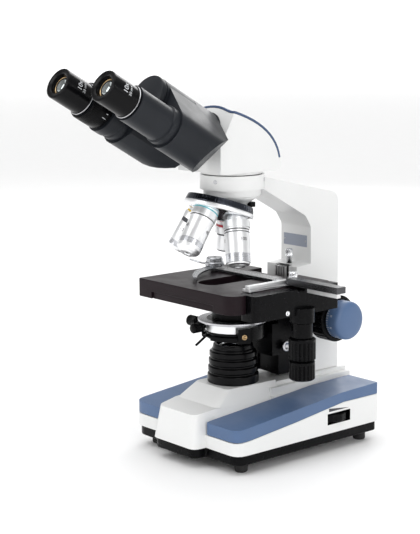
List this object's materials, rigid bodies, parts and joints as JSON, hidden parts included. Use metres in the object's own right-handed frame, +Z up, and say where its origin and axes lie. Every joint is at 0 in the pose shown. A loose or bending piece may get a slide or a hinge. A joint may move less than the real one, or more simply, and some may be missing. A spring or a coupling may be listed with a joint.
{
  "type": "compound microscope",
  "caption": "Binocular compound light microscope with sloping eyepiece tubes, turning nosepiece, mechanical stage, condenser and coaxial focus knobs on a built-in lamp base.",
  "frame": {"origin": "centre of the bounding box at the bottom, on the table under the feet", "axes": "+Z up, -Y towards the person looking through the eyepieces, +X to that person's right"},
  "size_m": [0.1968, 0.292, 0.3506],
  "materials": {
    "white_paint": "smooth glossy off-white paint",
    "blue_cover": "satin grey-blue",
    "black_paint": "satin black",
    "stage_black": "fine-textured black stage coating",
    "black_plastic": "satin moulded black",
    "rubber": "matt",
    "chrome": "polished",
    "objective_finish": "bright turned barrel with black and coloured rings",
    "steel": "turned",
    "alu": "bright turned",
    "glass": "clear, polished"
  },
  "bodies": {
    "stand": {"base_shell": "white_paint", "bottom_plate": "black_paint", "side_cover_right": "blue_cover", "side_cover_left": "blue_cover", "foot_front_left": "rubber", "foot_front_right": "rubber", "foot_rear_left": "rubber", "foot_rear_right": "rubber", "arm": "white_paint", "power_inlet": "black_plastic", "lamp_module": "steel", "illuminator_housing": "black_plastic", "field_lens": "glass", "nosepiece_mount": "black_paint"},
    "brightness": {"brightness_wheel": "black_plastic"},
    "rocker": {"power_switch": "black_plastic"},
    "stage_stop": {"stage_stop_screw": "chrome"},
    "coarse": {"coarse_knob_right": "black_plastic", "coarse_knob_left": "black_plastic", "coarse_shaft": "steel"},
    "fine": {"fine_knob_right": "blue_cover", "fine_knob_left": "blue_cover", "fine_shaft": "steel"},
    "tension": {"tension_ring": "black_plastic"},
    "focus": {"focus_carriage": "black_paint", "focus_rack": "steel", "stage_lower_plate": "stage_black"},
    "stage_y": {"stage_upper_plate": "stage_black", "stage_side_rail": "black_paint", "xy_shaft": "black_paint"},
    "holder": {"slide_holder": "black_paint", "slide_stop_arm": "chrome"},
    "clip": {"slide_clip": "chrome"},
    "holder_thumb": {"holder_screw": "chrome"},
    "y_drive": {"y_knob": "black_plastic"},
    "x_drive": {"x_knob": "black_plastic"},
    "condenser": {"condenser_bracket": "black_paint", "condenser_body": "black_paint", "condenser_collar": "alu", "condenser_lens": "black_paint"},
    "iris": {"iris_lever": "black_paint"},
    "centring_left": {"centring_screw_left": "black_plastic"},
    "centring_front": {"centring_screw_front": "black_plastic"},
    "condenser_drive": {"condenser_knob": "black_plastic"},
    "nosepiece": {"nosepiece_turret": "chrome", "nosepiece_grip_ring": "black_paint", "objective_100x": "objective_finish", "objective_40x": "objective_finish", "objective_10x": "objective_finish", "objective_4x": "objective_finish"},
    "head": {"head_flange": "black_paint", "head_housing": "white_paint", "head_cover": "blue_cover", "head_prism": "glass", "tube_hinge": "black_paint"},
    "tube_right": {"prism_housing_right": "black_paint"},
    "tube_left": {"prism_housing_left": "black_paint"},
    "dioptre": {"dioptre_ring": "black_plastic"},
    "ocular_right": {"eyepiece_right": "black_paint"},
    "ocular_left": {"eyepiece_left": "black_paint"}
  },
  "joints": [
    {"name": "stage_focus", "type": "slide", "parent": "stand", "child": "focus", "axis": [0, 0, 1], "range_m": [-0.004, 0.01]},
    {"name": "coarse_turn", "type": "hinge", "parent": "stand", "child": "coarse", "pos_m": [-0.026, 0.10404, 0.1186], "axis": [1, 0, 0], "range_deg": [-97, 40]},
    {"name": "fine_turn", "type": "hinge", "parent": "stand", "child": "fine", "pos_m": [-0.026, 0.10404, 0.1186], "axis": [1, 0, 0], "continuous": true},
    {"name": "tension_turn", "type": "hinge", "parent": "stand", "child": "tension", "pos_m": [-0.026, 0.10404, 0.1186], "axis": [1, 0, 0], "range_deg": [-60, 60]},
    {"name": "stage_y_travel", "type": "slide", "parent": "focus", "child": "stage_y", "axis": [0, 1, 0], "range_m": [-0.012, 0.01]},
    {"name": "y_knob_turn", "type": "hinge", "parent": "stage_y", "child": "y_drive", "pos_m": [0.048, 0.04004, 0.104], "axis": [0, 0, 1], "range_deg": [-90, 90]},
    {"name": "holder_x_travel", "type": "slide", "parent": "stage_y", "child": "holder", "axis": [1, 0, 0], "range_m": [-0.045, 0.005]},
    {"name": "x_knob_turn", "type": "hinge", "parent": "stage_y", "child": "x_drive", "pos_m": [0.048, 0.04004, 0.085], "axis": [0, 0, 1], "range_deg": [-650, 80]},
    {"name": "clip_swing", "type": "hinge", "parent": "holder", "child": "clip", "pos_m": [-0.0715, 0.04164, 0.166], "axis": [0, 0, 1], "range_deg": [-30, 0], "stiffness_Nm_per_rad": 0.05, "springref_deg": 20.05},
    {"name": "holder_screw_turn", "type": "hinge", "parent": "holder", "child": "holder_thumb", "pos_m": [0.0318, 0.04404, 0.166], "axis": [0, 0, 1], "continuous": true},
    {"name": "condenser_height", "type": "slide", "parent": "focus", "child": "condenser", "axis": [0, 0, 1], "range_m": [-0.004, 0.009]},
    {"name": "condenser_knob_turn", "type": "hinge", "parent": "focus", "child": "condenser_drive", "pos_m": [-0.026, 0.06704, 0.0933], "axis": [1, 0, 0], "range_deg": [-150, 70]},
    {"name": "iris_swing", "type": "hinge", "parent": "condenser", "child": "iris", "pos_m": [-0.026, 0.02404, 0.108], "axis": [0, 0, 1], "range_deg": [-12, 12]},
    {"name": "centring_left_turn", "type": "hinge", "parent": "condenser", "child": "centring_left", "pos_m": [-0.062, 0.01104, 0.1148], "axis": [1, 0, 0], "continuous": true},
    {"name": "centring_front_turn", "type": "hinge", "parent": "condenser", "child": "centring_front", "pos_m": [-0.0425, -0.00096, 0.1142], "axis": [0, 1, 0], "continuous": true},
    {"name": "nosepiece_turn", "type": "hinge", "parent": "stand", "child": "nosepiece", "pos_m": [-0.026, 0.02504, 0.2732], "axis": [0, -0.3244, -0.9459], "continuous": true},
    {"name": "head_turn", "type": "hinge", "parent": "stand", "child": "head", "pos_m": [-0.026, 0.02404, 0.255], "axis": [0, 0, 1], "continuous": true},
    {"name": "tube_fold_right", "type": "hinge", "parent": "head", "child": "tube_right", "pos_m": [-0.026, -0.04375, 0.3112], "axis": [0, -0.866, 0.5], "range_deg": [-10, 17]},
    {"name": "tube_fold_left", "type": "hinge", "parent": "head", "child": "tube_left", "pos_m": [-0.026, -0.04375, 0.3112], "axis": [0, -0.866, 0.5], "range_deg": [-17, 10]},
    {"name": "dioptre_turn", "type": "hinge", "parent": "tube_left", "child": "dioptre", "pos_m": [-0.05755, -0.09894, 0.31561], "axis": [0, -0.866, 0.5], "range_deg": [-90, 90]},
    {"name": "eyepiece_right_pull", "type": "slide", "parent": "tube_right", "child": "ocular_right", "axis": [0, -0.866, 0.5], "range_m": [0, 0.027]},
    {"name": "eyepiece_left_pull", "type": "slide", "parent": "tube_left", "child": "ocular_left", "axis": [0, -0.866, 0.5], "range_m": [0, 0.027]},
    {"name": "brightness_turn", "type": "hinge", "parent": "stand", "child": "brightness", "pos_m": [0.0332, 0.08904, 0.0315], "axis": [0, 0, 1], "range_deg": [-135, 135]},
    {"name": "switch_rock", "type": "hinge", "parent": "stand", "child": "rocker", "pos_m": [-0.005, 0.13664, 0.035], "axis": [1, 0, 0], "range_deg": [0, 14]},
    {"name": "stage_stop_turn", "type": "hinge", "parent": "stand", "child": "stage_stop", "pos_m": [-0.026, 0.09444, 0.17], "axis": [0, 0, 1], "continuous": true}
  ],
  "couplings": [
    {"joint": "coarse_turn", "follows": "stage_focus", "rad_per_m": -160},
    {"joint": "y_knob_turn", "follows": "stage_y_travel", "rad_per_m": 125},
    {"joint": "x_knob_turn", "follows": "holder_x_travel", "rad_per_m": 250},
    {"joint": "condenser_knob_turn", "follows": "condenser_height", "rad_per_m": -277.8},
    {"joint": "tube_fold_left", "follows": "tube_fold_right", "ratio": -1}
  ]
}
